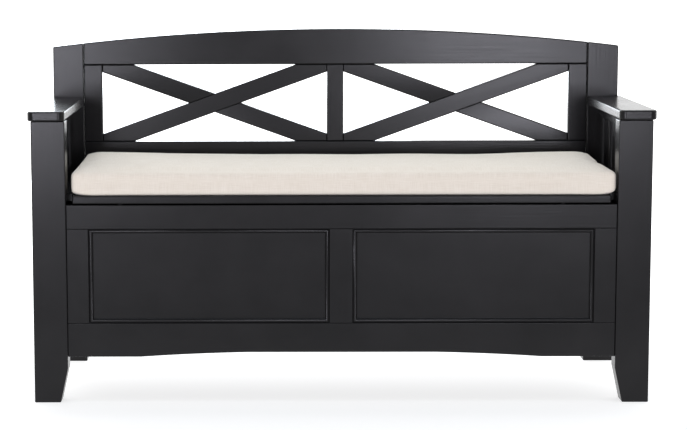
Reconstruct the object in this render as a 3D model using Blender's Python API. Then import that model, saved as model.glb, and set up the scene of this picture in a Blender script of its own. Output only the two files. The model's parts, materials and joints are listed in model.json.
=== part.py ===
"""Storage bench: arms, an arched cross-braced back and a hinged seat lid over a box.

Metres, +Z up.  X runs across the bench, +Y towards its back, and the origin is on
the floor under the middle of the bench.  Every board is an object of its own, with
a hairline joint to its neighbours, and the lid with its cushion turns on the empty
lid_hinge_axis.
"""

import math

import bmesh
import bpy

# ---------------------------------------------------------------- driving dimensions
WIDTH = 1.270                 # over the arms
DEPTH = 0.446                 # from the arms' noses to the back of the posts
HEIGHT = 0.7495               # to the crown of the arched back
HAIRLINE = 0.0003             # space left in every glued joint

# legs, posts and arms
LEG_INNER = 0.5593            # half distance between the legs' inner faces
LEG_OUTER = 0.6285
LEG_DEPTH = 0.043
LEG_TAPER_TOP = 0.0709        # height at which the foot starts to taper
FOOT_INNER = 0.5747
POST_INNER = 0.5603
POST_OUTER = 0.6277
POST_DEPTH = 0.038
ARM_TOP = 0.5997
ARM_THICK = 0.020
ARM_INNER = 0.5597
ARM_NOSE_OVERHANG = 0.008
ARM_CORNER_RADIUS = 0.014
ARM_CORNER_STEPS = 4

# arched back
ARCH_RADIUS = 5.15
ARCH_STEPS = 28
BACK_SETBACK = 0.005          # back frame behind the posts' front
BACK_THICK = 0.022
BACK_OPENING_TOP = 0.671
BACK_OPENING_BOTTOM = 0.4990
BACK_STILE_INNER = 0.5189
CENTRE_STILE_HALF = 0.0182
BRACE_WIDTH = 0.0392
BRACE_OVERSHOOT = 0.004       # how far its middle line passes above or below the opening's corner
BRACE_THICK = 0.020

# box
PLINTH_HEIGHT = 0.0945        # underside of the box
RAIL_TOP = 0.164              # top of the bottom rails
PANEL_TOP = 0.359             # underside of the front top rail
BOX_TOP = 0.4077              # top of the front frame
FRONT_SETBACK = 0.005         # front frame behind the legs' front
FRONT_THICK = 0.020
FRONT_STILE_INNER = 0.515
MULLION_HALF = 0.0234
VALANCE_HALF = 0.410          # half length of the arched cut under the front rail
VALANCE_RISE = 0.0111
VALANCE_POWER = 2.5
VALANCE_STEPS = 24
BEAD_WIDTH = 0.011
BEAD_DEPTH = 0.0058
PANEL_THICK = 0.006
BACK_PANEL_THICK = 0.016
FLOOR_THICK = 0.008
CLEAT = 0.018

# sides under the arms
SIDE_CENTRE = 0.597           # plane of the side rails, half distance
SIDE_RAIL_THICK = 0.022
SIDE_PANEL_THICK = 0.010
SLAT_THICK = 0.014
SLAT_WIDTH = 0.060
SLATS_PER_SIDE = 3
SIDE_TOP_RAIL_HEIGHT = 0.025
SEAT_RAIL_LOW = 0.385
SEAT_RAIL_HIGH = 0.450

# lid, cushion and hinges
LID_HALF = 0.547
LID_FRONT = -0.212
LID_BOTTOM = 0.4107
LID_TOP = 0.4264
LID_END_REVEAL = 0.0025
SEAT_STRIP_FRONT = 0.1368
LID_REAR = 0.1332
HINGE_Y = 0.1350
HINGE_Z = 0.4294
HINGE_X = 0.360               # half distance between the hinges' middles
HINGE_LENGTH = 0.076
BARREL_RADIUS = 0.0030
BORE_RADIUS = 0.0015
PIN_RADIUS = 0.0012
LEAF_THICK = 0.0012
LEAF_FOOT = 0.4124
LEAF_HEAD = 0.4272
ROUND_SIDES = 16
BATTEN_X = 0.260
BATTEN_WIDTH = 0.040
BATTEN_THICK = 0.018
BATTEN_FRONT = -0.150
BATTEN_REAR = 0.100
CUSHION_LEFT = -0.549
CUSHION_RIGHT = 0.556
CUSHION_FRONT = -0.213
CUSHION_REAR = 0.124
CUSHION_TOP = 0.4800
CUSHION_ROUNDING = 0.012
BUMPER_RADIUS = 0.005
BUMPER_X = 0.450
BUMPER_Y = -0.200

# planes worked out from the sizes above
REAR = DEPTH / 2
POST_FRONT = REAR - POST_DEPTH
LEG_FRONT = -DEPTH / 2 + ARM_NOSE_OVERHANG
LEG_BACK = LEG_FRONT + LEG_DEPTH
FRONT_FACE = LEG_FRONT + FRONT_SETBACK
FRONT_BACK = FRONT_FACE + FRONT_THICK
BACK_FACE = POST_FRONT + BACK_SETBACK
SIDE_INNER = SIDE_CENTRE - SIDE_RAIL_THICK / 2
SIDES = {"left": -1, "right": 1}


# ---------------------------------------------------------------- finishes
def finish(name, colour, roughness, metallic=0.0):
    """Return a Principled material with one colour, roughness and metallic value."""
    material = bpy.data.materials.new(name)
    material.use_nodes = True
    shader = material.node_tree.nodes["Principled BSDF"]
    shader.inputs["Base Color"].default_value = (*colour, 1.0)
    shader.inputs["Roughness"].default_value = roughness
    shader.inputs["Metallic"].default_value = metallic
    material.diffuse_color = (*colour, 1.0)
    return material


def black_paint():
    """Satin black paint on the solid wood boards."""
    return finish("black_paint", (0.022, 0.021, 0.023), 0.38)


def black_panel_paint():
    """The same paint on thin sheet panels, a little flatter."""
    return finish("black_panel_paint", (0.018, 0.017, 0.019), 0.45)


def cream_cotton():
    """Plain woven cotton cover of the seat cushion."""
    return finish("cream_cotton", (0.80, 0.74, 0.67), 0.90)


def hinge_steel():
    """Plated steel of the hinges."""
    return finish("hinge_steel", (0.55, 0.54, 0.52), 0.35, 1.0)


def bumper_rubber():
    """Soft rubber under the lid's front edge."""
    return finish("bumper_rubber", (0.04, 0.04, 0.04), 0.80)


# ---------------------------------------------------------------- mesh helpers
def add_object(name, shape, centre, material, parent=None):
    """Turn a bmesh that is centred on `centre` into a named, placed object."""
    bmesh.ops.recalc_face_normals(shape, faces=shape.faces)
    mesh = bpy.data.meshes.new(name)
    shape.to_mesh(mesh)
    shape.free()
    mesh.materials.append(material)
    body = bpy.data.objects.new(name, mesh)
    bpy.context.scene.collection.objects.link(body)
    if parent is not None:
        body.parent = parent
        centre = [c - p for c, p in zip(centre, parent.location)]
    body.location = centre
    return body


def add_board(name, low, high, material, parent=None):
    """A straight board between its lowest and highest corners."""
    centre = [(a + b) / 2 for a, b in zip(low, high)]
    size = [b - a for a, b in zip(low, high)]
    shape = bmesh.new()
    bmesh.ops.create_cube(shape, size=1.0)
    bmesh.ops.scale(shape, vec=size, verts=shape.verts)
    return add_object(name, shape, centre, material, parent)


def add_side_board(name, side, inner, outer, y_span, z_span, material):
    """A board on one side of the bench, between two distances from the middle."""
    low_x, high_x = sorted((side * inner, side * outer))
    return add_board(name, (low_x, y_span[0], z_span[0]), (high_x, y_span[1], z_span[1]), material)


def add_prism(name, outline, low, high, material, plane="XZ"):
    """Extrude an outline drawn in a plane from `low` to `high` across that plane."""
    place = {"XZ": lambda u, v, w: (u, w, v), "XY": lambda u, v, w: (u, v, w)}[plane]
    middle_u = (min(u for u, v in outline) + max(u for u, v in outline)) / 2
    middle_v = (min(v for u, v in outline) + max(v for u, v in outline)) / 2
    shape = bmesh.new()
    ring = [shape.verts.new(place(u - middle_u, v - middle_v, (low - high) / 2)) for u, v in outline]
    face = shape.faces.new(ring)
    grown = bmesh.ops.extrude_face_region(shape, geom=[face])["geom"]
    top = [item for item in grown if isinstance(item, bmesh.types.BMVert)]
    bmesh.ops.translate(shape, verts=top, vec=place(0, 0, high - low))
    centre = place(middle_u, middle_v, (low + high) / 2)
    return add_object(name, shape, centre, material)


def add_turned(name, profile, centre, material, parent=None):
    """Turn (radius, x) rings about the X axis and close both ends."""
    shape = bmesh.new()
    rings = []
    for radius, x in profile:
        angles = [2 * math.pi * step / ROUND_SIDES for step in range(ROUND_SIDES)]
        rings.append([shape.verts.new((x, radius * math.cos(a), radius * math.sin(a))) for a in angles])
    for ring, after in zip(rings, rings[1:]):
        for step in range(ROUND_SIDES):
            following = (step + 1) % ROUND_SIDES
            shape.faces.new((ring[step], ring[following], after[following], after[step]))
    shape.faces.new(rings[0])
    shape.faces.new(rings[-1])
    return add_object(name, shape, centre, material, parent)


def cut(body, tool, operation):
    """Join or cut a body with a hidden tool shape."""
    modifier = body.modifiers.new(f"{operation.lower()}_{tool.name}", "BOOLEAN")
    modifier.operation = operation
    modifier.solver = "EXACT"
    modifier.object = tool
    tool.hide_render = True
    tool.display_type = "WIRE"


def arch_height(x):
    """Height of the back's arched top at a distance x from the middle."""
    return HEIGHT - ARCH_RADIUS + math.sqrt(ARCH_RADIUS ** 2 - x ** 2)


def valance_height(x):
    """Height of the front rail's underside: flat ends and a shallow arched cut."""
    span = min(abs(x) / VALANCE_HALF, 1.0)
    return PLINTH_HEIGHT + VALANCE_RISE * (1 - span ** VALANCE_POWER)


def steps_between(low, high, count):
    """Evenly spaced values from low to high, both included."""
    return [low + (high - low) * step / count for step in range(count + 1)]


# ---------------------------------------------------------------- legs, posts and arms
def front_leg(name, side, paint):
    """Front leg with a foot that tapers on its inner face."""
    outline = [
        (LEG_INNER, ARM_TOP - ARM_THICK - HAIRLINE),
        (LEG_OUTER, ARM_TOP - ARM_THICK - HAIRLINE),
        (LEG_OUTER, 0.0),
        (FOOT_INNER, 0.0),
        (LEG_INNER, LEG_TAPER_TOP),
    ]
    outline = [(side * x, z) for x, z in outline]
    add_prism(name, outline, LEG_FRONT, LEG_BACK, paint)


def rear_post(name, side, paint):
    """Rear post that runs from the floor to the arch."""
    top = steps_between(POST_INNER, POST_OUTER, 4)
    outline = [(side * x, arch_height(x)) for x in top]
    outline += [(side * POST_OUTER, 0.0), (side * POST_INNER, 0.0)]
    add_prism(name, outline, POST_FRONT, REAR, paint)


def arm(name, side, paint):
    """Flat arm board with rounded front corners, which butts against the post."""
    nose = -DEPTH / 2
    outline = [(ARM_INNER, POST_FRONT - HAIRLINE), (WIDTH / 2, POST_FRONT - HAIRLINE)]
    corners = ((WIDTH / 2 - ARM_CORNER_RADIUS, 0), (ARM_INNER + ARM_CORNER_RADIUS, 90))
    for centre_x, start in corners:
        for turn in steps_between(start, start + 90, ARM_CORNER_STEPS):
            angle = math.radians(turn)
            x = centre_x + ARM_CORNER_RADIUS * math.cos(angle)
            outline.append((x, nose + ARM_CORNER_RADIUS * (1 - math.sin(angle))))
    outline = [(side * x, y) for x, y in outline]
    add_prism(name, outline, ARM_TOP - ARM_THICK, ARM_TOP, paint, plane="XY")


# ---------------------------------------------------------------- sides
def side_frame(side_name, side, paint, panel_paint):
    """Rails, slats and panel between the front leg and the post on one side."""
    span = (LEG_BACK + HAIRLINE, POST_FRONT - HAIRLINE)
    inner, outer = SIDE_INNER, SIDE_CENTRE + SIDE_RAIL_THICK / 2
    top_rail_low = ARM_TOP - ARM_THICK - SIDE_TOP_RAIL_HEIGHT
    rails = {
        "side_top_rail": (top_rail_low, ARM_TOP - ARM_THICK - HAIRLINE),
        "side_seat_rail": (SEAT_RAIL_LOW, SEAT_RAIL_HIGH),
        "side_bottom_rail": (PLINTH_HEIGHT, RAIL_TOP),
    }
    for rail, heights in rails.items():
        add_side_board(f"{rail}_{side_name}", side, inner, outer, span, heights, paint)
    pitch = (span[1] - span[0] + SLAT_WIDTH) / (SLATS_PER_SIDE + 1)
    slat_heights = (SEAT_RAIL_HIGH + HAIRLINE, top_rail_low - HAIRLINE)
    for index in range(SLATS_PER_SIDE):
        middle = span[0] - SLAT_WIDTH / 2 + pitch * (index + 1)
        add_side_board(f"side_slat_{side_name}_{index + 1}", side,
                       SIDE_CENTRE - SLAT_THICK / 2, SIDE_CENTRE + SLAT_THICK / 2,
                       (middle - SLAT_WIDTH / 2, middle + SLAT_WIDTH / 2), slat_heights, paint)
    add_side_board(f"side_panel_{side_name}", side,
                   SIDE_CENTRE - SIDE_PANEL_THICK / 2, SIDE_CENTRE + SIDE_PANEL_THICK / 2,
                   span, (RAIL_TOP + HAIRLINE, SEAT_RAIL_LOW - HAIRLINE), panel_paint)


# ---------------------------------------------------------------- front frame
def front_rails(paint):
    """Top rail, and a bottom rail with a shallow arched underside."""
    half = LEG_INNER - HAIRLINE
    add_board("front_top_rail", (-half, FRONT_FACE, PANEL_TOP), (half, FRONT_BACK, BOX_TOP), paint)
    outline = [(half, PLINTH_HEIGHT), (half, RAIL_TOP), (-half, RAIL_TOP), (-half, PLINTH_HEIGHT)]
    outline += [(x, valance_height(x)) for x in steps_between(-VALANCE_HALF, VALANCE_HALF, VALANCE_STEPS)]
    add_prism("front_bottom_rail", outline, FRONT_FACE, FRONT_BACK, paint)


def front_uprights(paint):
    """Two end stiles and the middle mullion between the front rails."""
    heights = (RAIL_TOP + HAIRLINE, PANEL_TOP - HAIRLINE)
    for side_name, side in SIDES.items():
        add_side_board(f"front_stile_{side_name}", side, FRONT_STILE_INNER, LEG_INNER - HAIRLINE,
                       (FRONT_FACE, FRONT_BACK), heights, paint)
    add_board("front_mullion", (-MULLION_HALF, FRONT_FACE, heights[0]),
              (MULLION_HALF, FRONT_BACK, heights[1]), paint)


def front_panel(name, side, paint):
    """Flat sheet behind the bead moulding."""
    front = FRONT_FACE + BEAD_DEPTH + 3 * HAIRLINE
    add_side_board(name, side, MULLION_HALF + HAIRLINE, FRONT_STILE_INNER - HAIRLINE,
                   (front, front + PANEL_THICK), (RAIL_TOP + HAIRLINE, PANEL_TOP - HAIRLINE), paint)


def panel_bead(name, side, paint):
    """Moulding that frames a panel: a flat ring with an opening for the panel."""
    low_x, high_x = sorted((side * (MULLION_HALF + HAIRLINE), side * (FRONT_STILE_INNER - HAIRLINE)))
    low_z, high_z = RAIL_TOP + HAIRLINE, PANEL_TOP - HAIRLINE
    middle_x, middle_z = (low_x + high_x) / 2, (low_z + high_z) / 2
    front = FRONT_FACE + HAIRLINE
    shape = bmesh.new()
    rings = []
    for inset, y in ((0, 0), (BEAD_WIDTH, 0), (BEAD_WIDTH, BEAD_DEPTH), (0, BEAD_DEPTH)):
        half_x = (high_x - low_x) / 2 - inset
        half_z = (high_z - low_z) / 2 - inset
        corners = ((-half_x, -half_z), (half_x, -half_z), (half_x, half_z), (-half_x, half_z))
        rings.append([shape.verts.new((x, y - BEAD_DEPTH / 2, z)) for x, z in corners])
    for ring, after in zip(rings, rings[1:] + rings[:1]):
        for corner in range(4):
            following = (corner + 1) % 4
            shape.faces.new((ring[corner], ring[following], after[following], after[corner]))
    add_object(name, shape, (middle_x, front + BEAD_DEPTH / 2, middle_z), paint)


# ---------------------------------------------------------------- arched back
def back_rails(paint):
    """Arched top rail and straight lower rail between the posts."""
    half = POST_INNER - 2 * HAIRLINE
    outline = [(x, arch_height(x)) for x in steps_between(-half, half, ARCH_STEPS)]
    outline += [(half, BACK_OPENING_TOP), (-half, BACK_OPENING_TOP)]
    add_prism("back_top_rail", outline, BACK_FACE, BACK_FACE + BACK_THICK, paint)
    add_board("back_lower_rail", (-half, BACK_FACE, LID_TOP + 2 * HAIRLINE),
              (half, BACK_FACE + BACK_THICK, BACK_OPENING_BOTTOM), paint)


def back_stiles(paint):
    """End stiles and centre stile of the back frame."""
    heights = (BACK_OPENING_BOTTOM + HAIRLINE, BACK_OPENING_TOP - HAIRLINE)
    depths = (BACK_FACE, BACK_FACE + BACK_THICK)
    for side_name, side in SIDES.items():
        add_side_board(f"back_stile_{side_name}", side, BACK_STILE_INNER, POST_INNER - 2 * HAIRLINE,
                       depths, heights, paint)
    add_board("back_centre_stile", (-CENTRE_STILE_HALF, depths[0], heights[0]),
              (CENTRE_STILE_HALF, depths[1], heights[1]), paint)


def brace_outline(half_x, half_z, rise):
    """Six corners of a diagonal brace that fills an opening's two corners.

    The brace's middle line joins (-half_x, -rise*end_z) and (half_x, rise*end_z),
    with end_z a little more than half_z.  Its edges are parallel to that line, half a
    width away, and it is cut off at the opening's sides.
    """
    end_z = half_z + BRACE_OVERSHOOT
    half_upright = BRACE_WIDTH / 2 * math.hypot(half_x, end_z) / half_x
    along_z = half_upright - BRACE_OVERSHOOT
    along_x = (half_upright + BRACE_OVERSHOOT) * half_x / end_z
    return [
        (-half_x, -rise * half_z),
        (-half_x + along_x, -rise * half_z),
        (half_x, rise * (half_z - along_z)),
        (half_x, rise * half_z),
        (half_x - along_x, rise * half_z),
        (-half_x, -rise * (half_z - along_z)),
    ]


def crossing_braces(side_name, side, paint):
    """Two braces half-lapped where they cross, in one opening of the back."""
    low_x, high_x = sorted((side * (CENTRE_STILE_HALF + HAIRLINE), side * (BACK_STILE_INNER - HAIRLINE)))
    low_z, high_z = BACK_OPENING_BOTTOM + HAIRLINE, BACK_OPENING_TOP - HAIRLINE
    middle_x, middle_z = (low_x + high_x) / 2, (low_z + high_z) / 2
    half_x, half_z = (high_x - low_x) / 2, (high_z - low_z) / 2
    front = BACK_FACE + (BACK_THICK - BRACE_THICK) / 2
    lap = front + BRACE_THICK / 2
    back = front + BRACE_THICK
    clear = 0.005
    braces = {"rising": (1, lap, back + clear), "falling": (-1, front - clear, lap + HAIRLINE)}
    made = {}
    for brace, (rise, notch_low, notch_high) in braces.items():
        outline = [(middle_x + x, middle_z + z) for x, z in brace_outline(half_x, half_z, rise)]
        made[brace] = add_prism(f"brace_{brace}_{side_name}", outline, front, back, paint)
        other = strip_outline(half_x, half_z + BRACE_OVERSHOOT, -rise)
        other = [(middle_x + x, middle_z + z) for x, z in other]
        notch = add_prism(f"notch_{brace}_{side_name}", other, notch_low, notch_high, paint)
        cut(made[brace], notch, "DIFFERENCE")


def strip_outline(half_x, end_z, rise):
    """Middle stretch of a brace, a hairline wider each side, used to cut its lap."""
    length = math.hypot(half_x, end_z)
    unit_x, unit_z = half_x / length, rise * end_z / length
    reach, half_width = length / 3, BRACE_WIDTH / 2 + HAIRLINE
    corners = ((-reach, -half_width), (reach, -half_width), (reach, half_width), (-reach, half_width))
    return [(a * unit_x - b * unit_z, a * unit_z + b * unit_x) for a, b in corners]


# ---------------------------------------------------------------- inside the box
def box_floor(paint):
    """Floor sheet, notched round the legs and the posts."""
    front, rear = FRONT_BACK + HAIRLINE, BACK_FACE
    leg_x, side_x, post_x = LEG_INNER - HAIRLINE, SIDE_INNER - HAIRLINE, POST_INNER - 2 * HAIRLINE
    steps = [
        (leg_x, front), (leg_x, LEG_BACK + HAIRLINE), (side_x, LEG_BACK + HAIRLINE),
        (side_x, POST_FRONT - HAIRLINE), (post_x, POST_FRONT - HAIRLINE), (post_x, rear),
    ]
    outline = steps + [(-x, y) for x, y in reversed(steps)]
    low = PLINTH_HEIGHT + CLEAT - HAIRLINE
    add_prism("box_floor", outline, low, low + FLOOR_THICK, paint, plane="XY")


def floor_cleats(paint):
    """Two strips that carry the floor, behind the front rail and on the back panel."""
    half = LEG_INNER - HAIRLINE
    low = PLINTH_HEIGHT + 0.005
    high = PLINTH_HEIGHT + CLEAT - 2 * HAIRLINE
    add_board("floor_cleat_front", (-half, FRONT_BACK + HAIRLINE, low),
              (half, FRONT_BACK + HAIRLINE + CLEAT, high), paint)
    add_board("floor_cleat_rear", (-half, BACK_FACE - CLEAT, low), (half, BACK_FACE, high), paint)


def box_back_panel(paint):
    """Panel between the posts that closes the back of the box."""
    half = POST_INNER - 2 * HAIRLINE
    front = BACK_FACE + HAIRLINE
    add_board("box_back_panel", (-half, front, PLINTH_HEIGHT),
              (half, front + BACK_PANEL_THICK, LID_TOP + HAIRLINE), paint)


def fixed_seat(paint):
    """Fixed boards round the lid: rear strip with its rail, and end boards with cleats."""
    half = LID_HALF
    rear = BACK_FACE - HAIRLINE
    add_board("seat_rear_strip", (-half, SEAT_STRIP_FRONT, LID_BOTTOM), (half, rear, LID_TOP), paint)
    add_board("seat_rear_rail", (-half, rear - CLEAT, LID_BOTTOM - 0.050),
              (half, rear, LID_BOTTOM - HAIRLINE), paint)
    span = (LEG_BACK + HAIRLINE, POST_FRONT - HAIRLINE)
    for side_name, side in SIDES.items():
        add_side_board(f"seat_end_{side_name}", side, LID_HALF + LID_END_REVEAL, SIDE_INNER - HAIRLINE,
                       span, (LID_BOTTOM, LID_TOP), paint)
        add_side_board(f"seat_end_cleat_{side_name}", side, SIDE_INNER - HAIRLINE - CLEAT,
                       SIDE_INNER - HAIRLINE, span,
                       (LID_BOTTOM - HAIRLINE - CLEAT, LID_BOTTOM - HAIRLINE), paint)


def lid_bumper(name, side, rubber):
    """Round rubber pad on the front rail, under the lid's edge."""
    shape = bmesh.new()
    low, high = BOX_TOP + HAIRLINE, LID_BOTTOM - HAIRLINE
    bmesh.ops.create_cone(shape, cap_ends=True, segments=ROUND_SIDES, radius1=BUMPER_RADIUS,
                          radius2=BUMPER_RADIUS, depth=high - low)
    add_object(name, shape, (side * BUMPER_X, BUMPER_Y, (low + high) / 2), rubber)


# ---------------------------------------------------------------- lid
def lid_board(axis, paint):
    """Seat lid board and the two battens that keep it flat."""
    add_board("lid", (-LID_HALF, LID_FRONT, LID_BOTTOM), (LID_HALF, LID_REAR, LID_TOP), paint, axis)
    high = LID_BOTTOM - HAIRLINE
    for side_name, side in SIDES.items():
        middle = side * BATTEN_X
        add_board(f"lid_batten_{side_name}",
                  (middle - BATTEN_WIDTH / 2, BATTEN_FRONT, high - BATTEN_THICK),
                  (middle + BATTEN_WIDTH / 2, BATTEN_REAR, high), paint, axis)


def seat_cushion(axis, cotton):
    """Plain box cushion with rounded edges, lying on the lid."""
    cushion = add_board("seat_cushion", (CUSHION_LEFT, CUSHION_FRONT, LID_TOP + HAIRLINE),
                        (CUSHION_RIGHT, CUSHION_REAR, CUSHION_TOP), cotton, axis)
    rounding = cushion.modifiers.new("rounding", "BEVEL")
    rounding.width = CUSHION_ROUNDING
    rounding.segments = 3


def hinge_leaf(name, middle, side_of_axis, knuckles, steel, parent=None):
    """Hinge leaf: a plate beside the axis with its share of the knuckles, bored for the pin."""
    gap = HAIRLINE
    near, far = HINGE_Y + side_of_axis * gap, HINGE_Y + side_of_axis * (gap + LEAF_THICK)
    low_y, high_y = sorted((near, far))
    half = HINGE_LENGTH / 2
    leaf = add_board(name, (middle - half, low_y, LEAF_FOOT), (middle + half, high_y, LEAF_HEAD),
                     steel, parent)
    knuckle = HINGE_LENGTH / 3
    for index in range(3):
        own = index in knuckles
        radius, growth = (BARREL_RADIUS, -gap / 2) if own else (BARREL_RADIUS + 2 * gap, gap / 2)
        start = -half + knuckle * index
        ends = (start - growth, start + knuckle + growth)
        tool = add_turned(f"knuckle_{name}_{index}", [(radius, x) for x in ends],
                          (middle, HINGE_Y, HINGE_Z), steel)
        cut(leaf, tool, "UNION" if own else "DIFFERENCE")
    bore = add_turned(f"bore_{name}", [(BORE_RADIUS, -HINGE_LENGTH), (BORE_RADIUS, HINGE_LENGTH)],
                      (middle, HINGE_Y, HINGE_Z), steel)
    cut(leaf, bore, "DIFFERENCE")


def hinge(side_name, side, axis, steel):
    """Butt hinge between the rear strip and the lid: two leaves and a headed pin."""
    middle = side * HINGE_X
    hinge_leaf(f"hinge_frame_leaf_{side_name}", middle, 1, (0, 2), steel)
    hinge_leaf(f"hinge_lid_leaf_{side_name}", middle, -1, (1,), steel, axis)
    half = HINGE_LENGTH / 2 + HAIRLINE
    head = 0.0012
    profile = [(0.0022, -half - head), (0.0022, -half), (PIN_RADIUS, -half),
               (PIN_RADIUS, half), (0.0022, half), (0.0022, half + head)]
    add_turned(f"hinge_pin_{side_name}", profile, (middle, HINGE_Y, HINGE_Z), steel)


# ---------------------------------------------------------------- assembly
def hinge_axis():
    """Empty on the lid's axis, parent of all that turns with the lid."""
    axis = bpy.data.objects.new("lid_hinge_axis", None)
    axis.location = (0.0, HINGE_Y, HINGE_Z)
    bpy.context.scene.collection.objects.link(axis)
    return axis


def build_bench():
    """Clear the scene and build every piece of the bench."""
    for old in list(bpy.data.objects):
        bpy.data.objects.remove(old, do_unlink=True)
    paint, panel_paint = black_paint(), black_panel_paint()
    cotton, steel, rubber = cream_cotton(), hinge_steel(), bumper_rubber()
    axis = hinge_axis()
    for side_name, side in SIDES.items():
        front_leg(f"front_leg_{side_name}", side, paint)
        rear_post(f"rear_post_{side_name}", side, paint)
        arm(f"arm_{side_name}", side, paint)
        side_frame(side_name, side, paint, panel_paint)
        front_panel(f"front_panel_{side_name}", side, panel_paint)
        panel_bead(f"panel_bead_{side_name}", side, paint)
        crossing_braces(side_name, side, paint)
        lid_bumper(f"lid_bumper_{side_name}", side, rubber)
        hinge(side_name, side, axis, steel)
    front_rails(paint)
    front_uprights(paint)
    back_rails(paint)
    back_stiles(paint)
    box_floor(panel_paint)
    floor_cleats(paint)
    box_back_panel(panel_paint)
    fixed_seat(paint)
    lid_board(axis, paint)
    seat_cushion(axis, cotton)
    bpy.context.view_layer.update()


build_bench()
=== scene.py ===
"""Looks of a black storage bench with a cream seat cushion, built round its CAD frame.

Every wooden piece is a board with eased edges in place of its plain CAD node, the
seat cushion is inflated by a cloth simulation, and the hinges, screws and bumpers
are turned or pressed metal and rubber.  Metres throughout, +Z up, +Y to the back.
"""

import json
import logging
import math
from dataclasses import dataclass, field
from enum import Enum

import bpy
import numpy as np
from mathutils import Matrix, Vector

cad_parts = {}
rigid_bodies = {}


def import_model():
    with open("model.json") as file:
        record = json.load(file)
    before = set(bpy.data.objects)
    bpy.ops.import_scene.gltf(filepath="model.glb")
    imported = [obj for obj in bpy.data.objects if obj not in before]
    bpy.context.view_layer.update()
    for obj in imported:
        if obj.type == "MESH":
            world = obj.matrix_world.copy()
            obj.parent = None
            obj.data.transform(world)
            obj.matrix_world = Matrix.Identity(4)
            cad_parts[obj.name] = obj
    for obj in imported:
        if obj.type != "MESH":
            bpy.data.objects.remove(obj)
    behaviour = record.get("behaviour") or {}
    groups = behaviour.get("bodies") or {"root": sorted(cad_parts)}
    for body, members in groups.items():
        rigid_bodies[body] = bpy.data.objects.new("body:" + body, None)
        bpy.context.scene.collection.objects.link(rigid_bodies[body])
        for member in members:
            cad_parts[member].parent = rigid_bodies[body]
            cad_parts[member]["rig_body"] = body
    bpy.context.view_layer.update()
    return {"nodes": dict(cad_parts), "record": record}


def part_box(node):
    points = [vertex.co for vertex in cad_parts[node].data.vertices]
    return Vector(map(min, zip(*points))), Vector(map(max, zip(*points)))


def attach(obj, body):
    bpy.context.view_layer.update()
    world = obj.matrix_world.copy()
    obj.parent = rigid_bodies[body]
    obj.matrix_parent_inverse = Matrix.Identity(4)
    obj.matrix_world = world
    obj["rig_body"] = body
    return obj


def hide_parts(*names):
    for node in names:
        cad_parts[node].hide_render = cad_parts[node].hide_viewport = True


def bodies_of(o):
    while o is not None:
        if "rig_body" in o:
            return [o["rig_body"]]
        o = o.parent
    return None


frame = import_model()
LOG = logging.getLogger("storage_bench")
Array = np.ndarray
SIDES = {"left": -1.0, "right": 1.0}
SAME_POINT = 2e-5
SQUARE = np.array([(-1, -1), (1, -1), (1, 1), (-1, 1)], float)
SHARP_EDGE = math.radians(40)
TINT_STOPS = (0.3, 0.7)


# ---------------------------------------------------------------- outlines and solids
class Plane(Enum):
    """Plane that an outline is drawn in: rows are the world directions of u, v and w."""

    FRONT = ((1, 0, 0), (0, 0, 1), (0, -1, 0))
    TOP = ((1, 0, 0), (0, 1, 0), (0, 0, 1))
    SIDE = ((0, 1, 0), (0, 0, 1), (1, 0, 0))

    @property
    def axes(self) -> Array:
        """The three directions as a 3 by 3 array."""
        return np.array(self.value, float)


def box_corners(low: Array, high: Array) -> Array:
    """Corners of the rectangle between two corners, counter-clockwise."""
    return np.array([(low[0], low[1]), (high[0], low[1]), (high[0], high[1]), (low[0], high[1])])


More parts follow.
